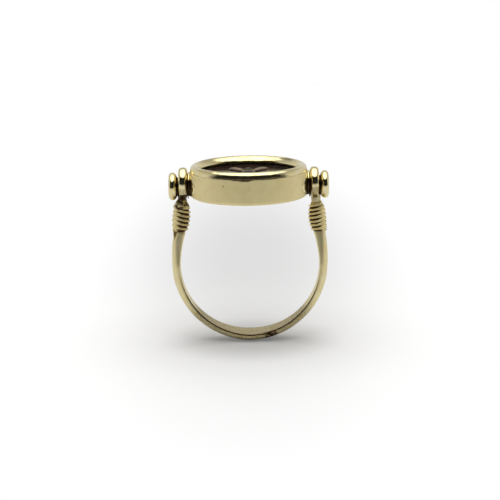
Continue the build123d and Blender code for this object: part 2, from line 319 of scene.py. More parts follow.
polished = gold("gold_polished", (GOLD, GOLD_PALE), roughness=0.09, dents=0.022)
bead_gold = gold("gold_bead", (GOLD, GOLD_PALE), roughness=0.11, grain=RING_GRAIN,
                 scratch=0.0010, dents=0.003)
satin = gold("gold_satin", (SATIN_PALE, SATIN_WARM), roughness=0.56, grain=RING_GRAIN,
             scratch=0.0060, dents=0.004, metal=0.38)
hoop_gold = gold("gold_hoop", (GOLD_PALE, GOLD), roughness=0.42, scratch=0.0010, dents=0.004)
wire_gold = gold("gold_wire", (GOLD, GOLD_WARM), roughness=0.30, dents=0.004, metal=0.9)
plain_back = gold("gold_back", (GOLD, GOLD_WARM), roughness=0.30, grain=LONG_GRAIN,
                  scratch=0.0035)
dark_stone = stone_material()

# --- mesh helpers ---
MERGE = 1e-4


def grid_faces(rows, columns, start, close_rows):
    """Quads of a grid of points, row by row; each row closes on itself."""
    faces = []
    for r in range(rows if close_rows else rows - 1):
        here, above = start + r * columns, start + (r + 1) % rows * columns
        faces += [(here + c, here + (c + 1) % columns, above + (c + 1) % columns, above + c)
                  for c in range(columns)]
    return faces


class Surface:
    """Points and faces in millimetres, with a patina-and-shade value and a painted highlight value at each point.
    """

    def __init__(self):
        self.points, self.faces, self.patina, self.painted_highlight = [], [], [], []

    def add_grid(self, rows, close_rows=False, capped=False, patina=0.0, painted_highlight=0.0):
        """Closed rows of points, each as long as the others; capped closes the first and the last with a face. The
        patina-and-shade and painted highlight values are one number, or one for each point."""
        start, width = len(self.points), len(rows[0])
        for row in rows:
            self.points += [tuple(p) for p in row]
        count = len(rows) * width
        self.patina += list(patina) if hasattr(patina, "__len__") else [patina] * count
        self.painted_highlight += list(painted_highlight) if hasattr(painted_highlight, "__len__") else [painted_highlight] * count
        self.faces += grid_faces(len(rows), width, start, close_rows)
        if capped:
            last = start + (len(rows) - 1) * width
            self.faces.append(tuple(reversed(range(start, start + width))))
            self.faces.append(tuple(range(last, last + width)))

    def add_rows(self, stations, count, point, look="patina", **closing):
        """A grid with a row for each station; point(station, angle) gives a place and its look, which is its
        patina and painted shade, or its painted highlight."""
        rows, values = [], []
        for station in stations:
            made = [point(station, angle) for angle in full_turn(count)]
            rows.append([place for place, value in made])
            values += [value for place, value in made]
        self.add_grid(rows, **{look: values}, **closing)

    def piece(self, name, body, material, node):
        finish_piece(self.object(name), body, material, node)

    def object(self, name):
        """The surface as a Blender object with smooth faces, in metres."""
        mesh = bpy.data.meshes.new(name)
        mesh.from_pydata([tuple(v * MM for v in p) for p in self.points], [], self.faces)
        for label, values in (("patina", self.patina), ("painted_highlight", self.painted_highlight)):
            attribute = mesh.attributes.new(label, "FLOAT", "POINT")
            attribute.data.foreach_set("value", np.array(values, np.float32))
        clean(mesh)
        return placed(bpy.data.objects.new(name, mesh))


def clean(mesh):
    """Merge double points, point the faces outwards and shade them smooth."""
    shape = bmesh.new()
    shape.from_mesh(mesh)
    bmesh.ops.remove_doubles(shape, verts=shape.verts, dist=MERGE * MM)
    bmesh.ops.dissolve_degenerate(shape, edges=shape.edges, dist=MERGE * MM)
    bmesh.ops.recalc_face_normals(shape, faces=shape.faces)
    for face in shape.faces:
        face.smooth = True
    shape.to_mesh(mesh)
    shape.free()


def placed(thing):
    """The object, now part of the scene."""
    bpy.context.scene.collection.objects.link(thing)
    return thing


def set_material(thing, material):
    thing.data.materials.clear()
    thing.data.materials.append(material)


def finish_piece(thing, body, material, node):
    """Give a piece its material and its body, and hide the node in the frame that it replaces."""
    set_material(thing, material)
    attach(thing, body)
    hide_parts(node)


def superellipse(angle, half_width, half_height, power):
    """A point on a superellipse; power 2 is an ellipse, more is squarer."""
    c, s = cos(angle), sin(angle)
    x = half_width * abs(c) ** (2 / power) * (1 if c >= 0 else -1)
    y = half_height * abs(s) ** (2 / power) * (1 if s >= 0 else -1)
    return x, y


# --- hoop ---
HOOP_WIDTH_SIDE = 2.30
ARM_THICKNESS = 1.42
ARM_WIDTH = 1.35
INNER_SHARE = 0.28  # part of the band's thickness inside its widest line
OUTER_SQUARENESS = 1.55  # this and the next four are superellipse powers of the section
FOOT_FULLNESS = 0.5  # added to the outer one at the band's lowest point
INNER_SQUARENESS = 6.0
ARM_SQUARENESS = 3.5
POST_SQUARENESS = 2.0
SECTION_POINTS = 72
BAND_STATIONS = 96
ARM_STATIONS = 34
POST_STATIONS = 14
SHOULDER_STATIONS = 3  # in which the arm steps down to the post
NOTCH_Z = POST_FOOT_Z - 1.1  # the left arm is let in above here for the wire's tail
NOTCH_DEPTH = 0.26
WIDTH_WEAR = 0.012  # how much wear takes or leaves, as parts of width and height
HEIGHT_WEAR = 0.035

FLANK = 0.40  # the flanks lie further out than this part of the width
# the painted dark reflection along the inner flanks: its place and half its breadth, as parts of the height inside
# the widest line
EDGE_LINE = 0.70
EDGE_LINE_HALF = 0.34
JOINT_X = 2.30  # middle of the band's old soldered joint
JOINT_REACH = 1.2

# a section of the band: middle of its widest line, heading, full width, height outside that
# line and inside it, squareness of the inside
Station = namedtuple("Station", "x z heading width outer inner square")


def hoop_half():
    """Stations of the right half, from its lowest point up into the wrap."""
    bottom_thickness = -FLOOR_Z - FINGER_RADIUS
    bottom_width = hoop_high.y - hoop_low.y
    stations = []
    for step in range(BAND_STATIONS):
        turn = pi / 2 * step / BAND_STATIONS
        thickness = blend(bottom_thickness, HOOP_THICKNESS_SIDE, sin(turn) ** 2)
        width = blend(bottom_width, HOOP_WIDTH_SIDE, sin(turn))
        reach = FINGER_RADIUS + INNER_SHARE * thickness
        stations.append(Station(reach * sin(turn), -reach * cos(turn), turn, width,
                                (1 - INNER_SHARE) * thickness, INNER_SHARE * thickness,
                                INNER_SQUARENESS))
    inset = SIDE_CENTRE - POST_FOOT_X
    half_turn = atan2(inset, POST_FOOT_Z)
    radius = hypot(inset, POST_FOOT_Z) / (2 * sin(half_turn))
    for step in range(ARM_STATIONS + 1):
        share = step / ARM_STATIONS
        bend = 2 * half_turn * share
        thickness = blend(HOOP_THICKNESS_SIDE, ARM_THICKNESS, share)
        inner = blend(INNER_SHARE, 0.5, share)
        middle = SIDE_CENTRE - radius * (1 - cos(bend))
        shift = (inner - 0.5) * thickness
        stations.append(Station(middle + shift * cos(bend), radius * sin(bend) + shift * sin(bend),
                                pi / 2 + bend, blend(HOOP_WIDTH_SIDE, ARM_WIDTH, share),
                                (1 - inner) * thickness, inner * thickness,
                                blend(INNER_SQUARENESS, ARM_SQUARENESS, share)))
    for step in range(1, POST_STATIONS + 1):
        along = WRAP_END_GAP + (WRAP_HEIGHT / 2 - WRAP_END_GAP) * step / POST_STATIONS
        share = min(1.0, step / SHOULDER_STATIONS)
        half = blend(ARM_THICKNESS / 2, POST_RADIUS, share)
        stations.append(Station(POST_FOOT_X - along * sin(POST_ANGLE),
                                POST_FOOT_Z + along * cos(POST_ANGLE), pi / 2 + POST_ANGLE,
                                blend(ARM_WIDTH, 2 * POST_RADIUS, share), half, half,
                                blend(ARM_SQUARENESS, POST_SQUARENESS, share)))
    return stations


def hoop_ring(side, station):
    """One closed section of the band, worn a little unevenly."""
    x, z = station.x, station.z
    out = Vector((sin(station.heading), 0, -cos(station.heading)))
    wide = station.width / 2 * (1 + WIDTH_WEAR * wobble(x * 0.5, z * 0.5, side * 3.0))
    outer_square = OUTER_SQUARENESS + FOOT_FULLNESS * clamp(-z / FINGER_RADIUS) ** 2
    notch = NOTCH_DEPTH * clamp((z - NOTCH_Z) / (POST_FOOT_Z - NOTCH_Z)) if side < 0 else 0.0
    ring = []
    for angle in full_turn(SECTION_POINTS):
        outside = sin(angle) >= 0
        height, square = (station.outer, outer_square) if outside else (station.inner, station.square)
        y, n = superellipse(angle, wide, height, square)
        if n > 0:
            worn = HEIGHT_WEAR * wobble(side * x * 0.45 + 7, y * 0.6, z * 0.45)
            n *= 1 + worn - notch / station.outer
        ring.append((side * (x + out.x * n), y, z + out.z * n))
    return ring


def hoop_dirt_and_shade(side, station):
    """Darkening just below the wraps, a painted dark reflection along the band's inner flanks, painted shade
    towards its bottom, and dirt at the old joint right of its lowest point, one value for each section point."""
    x, z = station.x, station.z
    low = clamp(-z / 6)  # full from 6 mm below the centre
    under_wrap = joint_here = 0.0
    # darker just below the wraps
    if z > 0:
        under_wrap = 0.55 * max(0.0, 1 - (POST_FOOT_Z + 0.25 - z) / 0.5)
    if z < 0:
        joint_here = max(0.0, 1.2 - ((side * x - JOINT_X) / JOINT_REACH) ** 2)
    values = []
    for angle in full_turn(SECTION_POINTS):
        y, n = superellipse(angle, station.width / 2, station.inner, station.square)
        outside, flank = sin(angle) >= 0, abs(y) > FLANK * station.width
        edge = inside = joint = 0.0
        # a painted dark reflection along the inner flanks; the inside gets painted shade towards the bottom
        if flank and not outside:
            off_line = abs(n / station.inner + EDGE_LINE) / EDGE_LINE_HALF
            edge = max(0.0, 1.15 - off_line) * (0.25 + 0.95 * low)
        elif not outside:
            inside = 0.52 * low ** 3
        if flank or outside:
            joint = joint_here * (0.75 + 0.5 * wobble(x * 4.0, y * 4.0, n * 5.0))
        # 0.50 * low ** 3 is painted shade all round the band towards its bottom
        values.append(max(under_wrap, inside, edge, 0.50 * low ** 3, joint))
    return values


def build_hoop():
    half = hoop_half()
    stations = [(-1, station) for station in reversed(half[1:])]
    stations += [(1, station) for station in half]
    rows = [hoop_ring(side, station) for side, station in stations]
    # painted shade and painted dark reflections, with the joint's dirt
    dirt = [value for side, station in stations for value in hoop_dirt_and_shade(side, station)]
    surface = Surface()
    surface.add_grid(rows, capped=True, patina=dirt)
    surface.piece("band", "shank", hoop_gold, "shank_hoop")


# --- wire wraps ---
WIRE_RADIUS = 0.140
WIRE_WIDER_OUTSIDE = 0.075  # worn flat and broad on the outer side
WIRE_SIDES = 18
STEPS_PER_TURN = 56
FIRST_TURN_RISE = 0.27
WIRE_END = 1.02  # share of the wire at which it has run out
BRIGHT_REACH = 0.35  # the outermost stretch of a wire is not darkened
BRIGHT_FADE = 0.5  # over which the darkening comes in
WRAP_SHIFT = 0.08  # the middle of a wrap bulges inwards by this
BARREL_END_RADIUS = 0.80
BARREL_BULGE = 0.34
GAP_DEPTH = 0.16  # from the wire's crest down to the dark solder between turns
WRAP_COLUMNS = 60
CORE_STEPS = 46
CORE_LIFT = 0.10
CORE_SHORTER = 0.25
CORE_END = 0.04  # share of its length in which the core draws in to the post
SOLDER_STEPS = 16
SOLDER_TIP_RADIUS = 0.53
SOLDER_LEAST_RADIUS = 0.42
SOLDER_LUMPS = 0.050
TAIL_ROWS = 14
TAIL_TIP = (0.28, -0.28, -0.10)  # from the band's middle line and the notch
TAIL_BOW = (0.05, 0.10)  # inwards and to the front
TAIL_RADII = (0.05, 0.20)

# the two wraps, wound by hand: turns seen and their pitch, how much higher the turns lie on the outer side, how
# far the wrap has slipped down, darkening of the wire, noise seed, and the solder blob on its top: how far it
# reaches up and down, its widest radius, its dirt and the dirt's unevenness
Wrap = namedtuple("Wrap", "turns pitch skew drop dirt seed reach sink top blob_dirt blob_patches")
WRAPS = {
    "left": Wrap(6, 0.55, 0.10, 0.06, 0.40, 20.0, 0.50, 0.62, 1.06, 0.60, 0.6),
    "right": Wrap(7, 0.485, 0.03, 0.28, 0.22, 60.0, 0.25, 0.34, 0.84, 0.50, 0.0),
}


def post_point(side, along, radial, angle):
    """A point round a leaning post; angle 0 is on its outer side, a quarter turn its front."""
    lean = Vector((-sin(POST_ANGLE), 0, cos(POST_ANGLE)))
    out = Vector((cos(POST_ANGLE), 0, sin(POST_ANGLE)))
    foot = Vector((POST_FOOT_X, 0, POST_FOOT_Z))
    p = foot + lean * along + out * (radial * cos(angle)) + Vector((0, -radial * sin(angle), 0))
    return Vector((side * p.x, p.y, p.z))


def barrel(share):
    """Outer radius of a wrap from its bottom, 0, to its top, 1."""
    return BARREL_END_RADIUS + BARREL_BULGE * sin(pi * clamp(share)) ** 0.6


def wrap_point(side, along, radial, angle):
    """A point round the wrap, which bulges a little towards the finger hole."""
    p = post_point(side, along, radial, angle)
    p.x -= side * WRAP_SHIFT * sin(pi * clamp((along - WRAP_END_GAP) / WRAP_HEIGHT))
    return p


def add_tube(surface, path, radii, patina):
    """A closed tube along a list of points; each radius is that of the tube there. Its darkening is kept off the
    outer side of the ring, which stays lighter."""
    rows, stain_and_shade = [], []
    reach = max(abs(p.x) for p in path)
    up = Vector((0, 0, 1))
    for i, centre in enumerate(path):
        ahead = path[min(i + 1, len(path) - 1)] - path[max(i - 1, 0)]
        across = ahead.cross(up).normalized()
        other = across.cross(ahead).normalized()
        rows.append([
            centre + across * (radii[i] * cos(angle)) + other * (radii[i] * sin(angle))
            for angle in full_turn(WIRE_SIDES)
        ])
        dark = patina * clamp((reach - BRIGHT_REACH - abs(centre.x)) / BRIGHT_FADE)
        stain_and_shade += [dark] * WIRE_SIDES
    surface.add_grid(rows, capped=True, patina=stain_and_shade)


def wire_path(wrap, side):
    """The wire's centreline up the post, wound by hand: its turns lie askew, higher on the
    outer side, and pitch and radius wander a little."""
    path, radii = [], []
    for i in range(wrap.turns * STEPS_PER_TURN + 5):
        turn = i / STEPS_PER_TURN
        share = turn / wrap.turns
        outward = cos(2 * pi * turn)
        thicker_start = 0.05 * max(0.0, 1 - turn / 0.8)
        radius = WIRE_RADIUS + WIRE_WIDER_OUTSIDE * max(0.0, outward) + thicker_start
        along = WRAP_END_GAP + FIRST_TURN_RISE - wrap.drop
        along += wrap.pitch * turn + 0.050 * wobble(turn * 0.9, wrap.seed)
        along += wrap.skew * outward * min(1.0, 4 * share, 4 * (WIRE_END - share))
        radial = barrel((along + wrap.drop - WRAP_END_GAP) / WRAP_HEIGHT) - radius
        radial += 0.030 * wobble(turn * 1.7, wrap.seed + 5.0)
        path.append(wrap_point(side, along, radial, -2 * pi * turn))
        taper = max(0.3, min(1.0, 0.45 + 8 * (WIRE_END - share)))
        uneven = 1 + 0.10 * wobble(turn * 2.3, wrap.seed + 9.0)
        radii.append(radius * taper * uneven)
    return path, radii


def wire_tail(side, root):
    """The start of a wire, laid down the outside of its arm: points and radii up to the root."""
    x, y, z = TAIL_TIP
    tip = Vector((side * (SIDE_CENTRE + x), y, NOTCH_Z + z))
    path, radii = [], []
    for i in range(TAIL_ROWS):
        share = i / TAIL_ROWS
        point = tip.lerp(root, share)
        point.x -= side * TAIL_BOW[0] * sin(pi * share)
        point.y -= TAIL_BOW[1] * sin(pi * share)
        path.append(point)
        radii.append(blend(*TAIL_RADII, share ** 0.7))
    return path, radii


def add_core(surface, wrap, side):
    """A core under the wire, seen between its turns, painted dark as the shade in the gaps."""
    def point(share, angle):
        along = WRAP_END_GAP + CORE_LIFT - wrap.drop + (WRAP_HEIGHT - CORE_SHORTER) * share
        outward = max(0.0, cos(angle) - 0.25) / 0.75
        radius = barrel(share) - GAP_DEPTH + 0.05 * outward
        if share < CORE_END or share > 1 - CORE_END:
            radius = POST_RADIUS + 0.06
        # painted shade in the gaps between the turns, lighter on the outer side
        dirt = 0.92 - 0.60 * min(1.0, 2 * outward)
        return wrap_point(side, along, radius, angle), dirt

    surface.add_rows(shares(CORE_STEPS), WRAP_COLUMNS, point, capped=True)


def add_solder(surface, wrap, side):
    """The lumpy blob of solder where the wrap ends on the neck."""
    def point(share, angle):
        along = WRAP_HEIGHT + WRAP_END_GAP - wrap.drop - wrap.sink
        along += (wrap.reach + wrap.sink) * share
        c, s = cos(angle), sin(angle)
        lump = wobble(2.2 * c, 2.2 * s, along * 2.6 + wrap.seed)
        lump += 0.5 * wobble(5.0 * c, 5.0 * s, along * 6.0 + wrap.seed)
        radius = wrap.top - (wrap.top - SOLDER_TIP_RADIUS) * share ** 1.2
        radius = max(SOLDER_LEAST_RADIUS, radius + SOLDER_LUMPS * lump)
        dirt = wrap.blob_dirt + wrap.blob_patches * lump
        return post_point(side, along, radius, angle), dirt

    surface.add_rows(shares(SOLDER_STEPS), WRAP_COLUMNS, point, capped=True)


def build_wrap(name, side):
    wrap = WRAPS[name]
    path, radii = wire_path(wrap, side)
    if name == "left":
        tail_path, tail_radii = wire_tail(side, path[0])
        path, radii = tail_path + path, tail_radii + radii
    surface = Surface()
    add_tube(surface, path, radii, wrap.dirt)
    add_core(surface, wrap, side)
    add_solder(surface, wrap, side)
    surface.piece(f"{name}_wrap", "shank", wire_gold, f"{name}_wire_wrap")


# --- turned pieces ---
TURNED_SEGMENTS = 96


def turned(surface, profile, place, segments=TURNED_SEGMENTS, closed=False, patina=0.0):
    """Points made by turning a profile of (radius, height) pairs; place maps them to the ring."""
    rows = [[place(radius, height, angle) for angle in full_turn(segments)]
            for radius, height in profile]
    surface.add_grid(rows, close_rows=closed, patina=patina)


def on_pivot(side, centre_z=AXIS_Z):
    """Maps a turned point to the pivot axis: height runs outwards along X."""
    def place(radius, height, angle):
        return (side * height, radius * cos(angle), centre_z + radius * sin(angle))
    return place


def arc(centre, radius, start, end, steps):
    """Points of an arc as (radius, height) pairs; angles in degrees from the outward direction."""
    turns = [radians(start + (end - start) * i / steps) for i in range(steps + 1)]
    return [(centre[0] + radius * cos(turn), centre[1] + radius * sin(turn)) for turn in turns]


def rounded_plate(inner, outer, low, high, edge):
    """Closed profile of a disc with a hole and rounded outer edges."""
    return [(inner, low), (outer - edge, low),
            *arc((outer - edge, low + edge), edge, -90, 0, steps=10),
            *arc((outer - edge, high - edge), edge, 0, 90, steps=10), (inner, high)]


# --- eyes ---
EYE_SWELL = 0.02
EYE_EDGE_ROUND = 0.44
EYE_SEGMENTS = 80
NECK_RADIUS = 0.60
NECK_WAIST_RADIUS = 0.50
NECK_STEPS = 30
NECK_SEGMENTS = 40
NECK_TOP = 0.75  # below the pivot axis, inside the eye
NECK_FLARE_TOP = 0.9
NECK_WAIST_DROP = 0.3  # the post keeps its radius up to this far below the wrap's top
NECK_DEEPER = 1.1  # how much the neck widens front to back, up to the eye
MELT_VOXEL = 0.040
MELT_PASSES = 14
PAINTED_REFLECTION_MIDDLE = (EYE_CENTRE_X + 0.10, AXIS_Z - 1.00)  # an oval of painted dark reflection under the left eye
PAINTED_REFLECTION_HALF = (0.66, 0.78)
PAINTED_REFLECTION_TOP = AXIS_Z - 0.80

# the eyes differ: painted shade on their lower half, how much higher they stand, how full the neck is
Eye = namedtuple("Eye", "low_stain lift neck")
EYES = {"left": Eye(0.46, 0.14, 1.0), "right": Eye(0.54, 0.0, 1.14)}


def evaluated_copy(thing, name):
    """The object's mesh after its modifiers, as a new object; the old one goes."""
    graph = bpy.context.evaluated_depsgraph_get()
    mesh = bpy.data.meshes.new_from_object(thing.evaluated_get(graph))
    mesh.name = name
    bpy.data.objects.remove(thing)
    return placed(bpy.data.objects.new(name, mesh))


def add_neck(surface, eye, side):
    """The neck from the middle of the wrap up into the eye, narrow above the wrap."""
    length = (AXIS_Z - POST_FOOT_Z) / cos(POST_ANGLE)
    start = WRAP_HEIGHT / 2
    waist = WRAP_HEIGHT + WRAP_END_GAP
    rows = []
    for step in range(NECK_STEPS + 1):
        along = start + (length - NECK_TOP - start) * step / NECK_STEPS
        flare = clamp((along - waist) / (length - NECK_FLARE_TOP - waist))
        radius = blend(NECK_WAIST_RADIUS, NECK_RADIUS, flare) * eye.neck
        if along < waist - NECK_WAIST_DROP:
            radius = POST_RADIUS
        deep = 1 + NECK_DEEPER * flare ** 2
        points = [post_point(side, along, radius, angle) for angle in full_turn(NECK_SEGMENTS)]
        rows.append([(p.x, p.y * deep, p.z) for p in points])
    surface.add_grid(rows, capped=True)


def eye_painted_shade(name, side, x, y, z):
    """Painted shade on an eye's lower half and on its two flat faces, and a painted dark reflection in the oval
    under the left eye.
    """
    stain_and_shade = EYES[name].low_stain * clamp((AXIS_Z + 0.30 - z) / 0.35)
    if name == "left" and z < PAINTED_REFLECTION_TOP and y < 0.6:
        from_middle = hypot((side * x - PAINTED_REFLECTION_MIDDLE[0]) / PAINTED_REFLECTION_HALF[0],
                            (z - PAINTED_REFLECTION_MIDDLE[1]) / PAINTED_REFLECTION_HALF[1])
        stain_and_shade = clamp((1.12 - from_middle) / 0.16)
    # the flat faces get painted shade where they face the cap and the collar
    on_face = abs(abs(x) - EYE_CENTRE_X) > 0.40 and hypot(y, z - EYE_Z) < EYE_RADIUS - 0.25
    return max(stain_and_shade, 0.35) if on_face else stain_and_shade


def build_eye(name, side):
    """Flattened eye on its neck, drawn down from one wire: plate and neck melt together."""
    surface = Surface()
    low, high = EYE_CENTRE_X - EYE_THICKNESS / 2, EYE_CENTRE_X + EYE_THICKNESS / 2
    plate = rounded_plate(0.0, EYE_RADIUS + EYE_SWELL, low, high, EYE_EDGE_ROUND)
    turned(surface, plate, on_pivot(side, EYE_Z + EYES[name].lift), EYE_SEGMENTS)
    add_neck(surface, EYES[name], side)
    thing = surface.object(f"{name}_eye_blank")
    thing.data.transform(Matrix.Scale(1 / MM, 4))  # the modifiers work in millimetres
    melt = thing.modifiers.new("melt", "REMESH")
    melt.mode = "VOXEL"
    melt.voxel_size = MELT_VOXEL
    melt.use_smooth_shade = True
    soften = thing.modifiers.new("soften", "SMOOTH")
    soften.factor = 0.5
    soften.iterations = MELT_PASSES
    eye = evaluated_copy(thing, f"{name}_eye")
    shape = bmesh.new()
    shape.from_mesh(eye.data)
    layer = shape.verts.layers.float.new("patina")
    for vertex in shape.verts:
        vertex[layer] = eye_painted_shade(name, side, *vertex.co)
        vertex.co *= MM
    shape.to_mesh(eye.data)
    shape.free()
    for face in eye.data.polygons:
        face.use_smooth = True
    finish_piece(eye, "shank", polished, f"{name}_pivot_eye")


# --- caps and collars ---
CAP_STEPS = 30
CAP_WIDEST_SHIFT = 0.04  # its widest line lies this far out of the middle
CAP_DOME = (5.5, 1 / 2.3)  # powers of its outer and inner curves
CAP_BACK = (4.5, 1 / 2.1)
CAP_LIFT = 0.04
CAP_WAVES = 0.012
# the hub beside the cap and the disc beside the collar are dark: painted shade in the gaps to the eye
HUB_RADIUS = 1.15
HUB_SINK = 0.1  # into the cap
HUB_GAP = 0.03  # to the eye
SHADE_DISC_RADIUS = 1.50
SHADE_DISC_SINK = 0.05  # into the collar
SHADE_DISC_GAP = 0.01  # to the eye
COLLAR_EDGE_ROUND = 0.16
COLLAR_SINK = 0.06  # into the drum's wall
SADDLE_THICKNESS = 0.20
SADDLE_EDGE_DROP = 0.03
SADDLE_WAVES = 0.006
SADDLE_SINK = 0.1  # of its skirt, into the drum's wall
SADDLE_RINGS = 30
SADDLE_SPOKES = 120


def build_cap(name, side):
    """Full, rounded button riveted on the pin's end, on a dark hub, painted shade in the gap to the eye; its inner
    face is painted dark too.
    """
    middle = (CAP_INNER_FACE + CAP_OUTER_FACE) / 2 + CAP_WIDEST_SHIFT
    outer, inner = [], []
    for i in range(CAP_STEPS + 1):
        share = sin(pi / 2 * i / CAP_STEPS)
        radius = CAP_RADIUS * share
        dome = (1 - share ** CAP_DOME[0]) ** CAP_DOME[1]
        back = (1 - share ** CAP_BACK[0]) ** CAP_BACK[1]
        outer.append((radius, middle + (CAP_OUTER_FACE - middle) * dome))
        inner.append((radius, middle - (middle - CAP_INNER_FACE) * back))

    def point(station, angle):
        radius, height = station
        y, z = radius * cos(angle), radius * sin(angle)
        wavy = height + CAP_WAVES * wobble(y * 0.9 + 3 * side, z * 0.9, height)
        x = min(CAP_OUTER_FACE, max(CAP_INNER_FACE, wavy))
        # painted shade on the cap's inner face, towards the eye
        dirt = clamp((middle - 0.46 - height) / 0.06)
        return (side * x, y, z + (AXIS_Z + CAP_LIFT)), dirt

    surface = Surface()
    surface.add_rows(inner + outer[::-1], TURNED_SEGMENTS, point)
    hub_high = CAP_INNER_FACE + HUB_SINK
    hub_low = EYE_CENTRE_X + EYE_THICKNESS / 2 + HUB_GAP
    hub = [(0.0, hub_high), (HUB_RADIUS, hub_high), (HUB_RADIUS, hub_low), (0.0, hub_low)]
    # the hub is painted dark all over, as shade
    turned(surface, hub, on_pivot(side), patina=1.0)
    surface.piece(f"{name}_cap", "bezel", polished, f"{name}_end_cap")


def add_collar_disc(surface, side):
    """The round collar, painted dark as shade but for the top of its rim, with a dark disc between it and the eye,
    painted shade.
    """
    back = sqrt(DRUM_RADIUS**2 - COLLAR_RADIUS**2) - COLLAR_SINK
    plate = rounded_plate(PIN_RADIUS, COLLAR_RADIUS, back, COLLAR_FACE, COLLAR_EDGE_ROUND)
    # painted shade over the collar, all but the top of its rim
    stain_and_shade = []
    for radius, height in plate:
        on_face = radius < COLLAR_RADIUS - 0.08
        for angle in full_turn(TURNED_SEGMENTS):
            stain_and_shade.append(0.9 if on_face else 0.9 * clamp(3 - 5 * sin(angle)))
    turned(surface, plate, on_pivot(side, COLLAR_Z), closed=True, patina=stain_and_shade)
    # a disc painted dark as the shade between collar and eye
    low = COLLAR_FACE - SHADE_DISC_SINK
    high = EYE_CENTRE_X - EYE_THICKNESS / 2 - SHADE_DISC_GAP
    shade_disc = [(PIN_RADIUS, low), (SHADE_DISC_RADIUS, low), (SHADE_DISC_RADIUS, high), (PIN_RADIUS, high)]
    turned(surface, shade_disc, on_pivot(side), closed=True, patina=1.0)


def add_saddle(surface, side):
    """The oval saddle bent to the drum's wall, with a skirt that goes into it."""
    def point(station, angle):
        share, skirt = station
        y = SADDLE_HALF_LENGTH * share * cos(angle)
        z = COLLAR_Z + COLLAR_RADIUS * share * sin(angle)
        lift = SADDLE_THICKNESS * (1 - share ** 5) ** 0.5 - SADDLE_EDGE_DROP * share
        reach = DRUM_RADIUS + lift + SADDLE_WAVES * wobble(y * 1.5, z * 1.5, side)
        if skirt:
            reach = DRUM_RADIUS - SADDLE_SINK
        unshaded_border = clamp((share + 0.10 * sin(angle) - 0.84) / 0.08)  # the border is left out of the painted shade
        seam = 0.6 * max(0.0, (share - 0.97) / 0.03)
        return (side * sqrt(reach**2 - y * y), y, z), max(0.88 * (1 - unshaded_border), seam)

    stations = [(share, False) for share in shares(SADDLE_RINGS)] + [(1.0, True)]
    surface.add_rows(stations, SADDLE_SPOKES, point)
    last = len(surface.points) - SADDLE_SPOKES
    surface.faces.append(tuple(range(last, last + SADDLE_SPOKES)))


def build_collar(name, side):
    """Round collar on an oval saddle, both painted dark as shade."""
    surface = Surface()
    add_collar_disc(surface, side)
    add_saddle(surface, side)
    surface.piece(f"{name}_collar_plate", "bezel", polished, f"{name}_collar")


# --- bezel wall ---
AROUND = 540
DRUM_WALL = 0.60
DRUM_FOOT_ROUND = 0.45
DRUM_INNER_BEVEL = 0.04
# painted shade on the inner wall of the bezel
DRUM_INNER_PAINTED_SHADE = 0.45
WALL_STEPS = 90
WALL_DENTS = 0.004
SHOULDER_DROP = 0.30  # where the wall starts to roll over, below its top
SHOULDER_WANDER = 0.35
SHOULDER_SLOPE = 0.30
PIT_ANGLE = radians(270 - 25)  # a casting pit on the front of the wall
PIT_Z = 11.0
PIT_RADIUS = 0.09
PIT_DEPTH = 0.05
SEAM_SIDE = 0.03  # how far dirt at the joint reaches down from the bead at the sides
# at the front a painted dark reflection reaches further down from the bead, most in the middle
PAINTED_REFLECTION_FRONT = 0.16
PAINTED_REFLECTION_BULGE = 0.22  # how much further in the middle of the front
PAINTED_REFLECTION_BULGE_HALF = 0.24  # in shares of the drum's radius
PAINTED_STREAK_Z = 10.75  # a painted dark reflection in a streak down the front
PAINTED_STREAK_HALF_HEIGHT = 0.55


def wall_point(angle, z):
    """How far the wall's outer skin lies inside the drum's radius, and how dark it is painted there: dirt in its
    pit and at the joint with the bead, and painted dark reflections below the bead at the front and in a streak
    down the front.
    """
    c, s = cos(angle), sin(angle)
    start = WALL_TOP - SHOULDER_DROP * (1 + SHOULDER_WANDER * wobble(c * 4.5, s * 4.5, 2.0))
    inset = SHOULDER_SLOPE * max(0.0, z - start) ** 2 / (2 * SHOULDER_DROP)
    inset += WALL_DENTS * (1 + wobble(c * 3.0, s * 3.0, z * 0.6))
    pit = hypot((angle - PIT_ANGLE) * DRUM_RADIUS, z - PIT_Z) / PIT_RADIUS
    inset += PIT_DEPTH * max(0.0, 1 - pit ** 2)
    # dirt at the joint with the bead, and below it at the front a painted dark reflection
    front = max(0.0, -s - 0.70) / 0.30
    seam = blend(SEAM_SIDE, PAINTED_REFLECTION_FRONT, front)
    seam += PAINTED_REFLECTION_BULGE * front * max(0.0, 1 - ((c + 0.08) / PAINTED_REFLECTION_BULGE_HALF) ** 2)
    seam *= 1 + 0.60 * wobble(c * 5.0, s * 5.0, 9.0) + 0.25 * wobble(c * 22.0, 4.0, 9.0)
    under_bead = 0.95 * clamp(1.6 - 1.6 * (WALL_TOP - z) / seam)
    painted_streak = 0.0
    # a painted dark reflection in a streak down the front
    if s < 0:
        streak = 0.012 + 0.03 * wobble(z * 3.0)
        painted_streak = 0.40 * max(0.0, 1 - (c - streak) ** 2 / 0.0030)
        painted_streak *= 0.8 + 0.9 * wobble(c * 60.0, z * 6.0)
        painted_streak *= max(0.0, 1 - ((z - PAINTED_STREAK_Z) / PAINTED_STREAK_HALF_HEIGHT) ** 2)
    return inset, max(0.0, 1 - 0.6 * pit, under_bead, painted_streak)


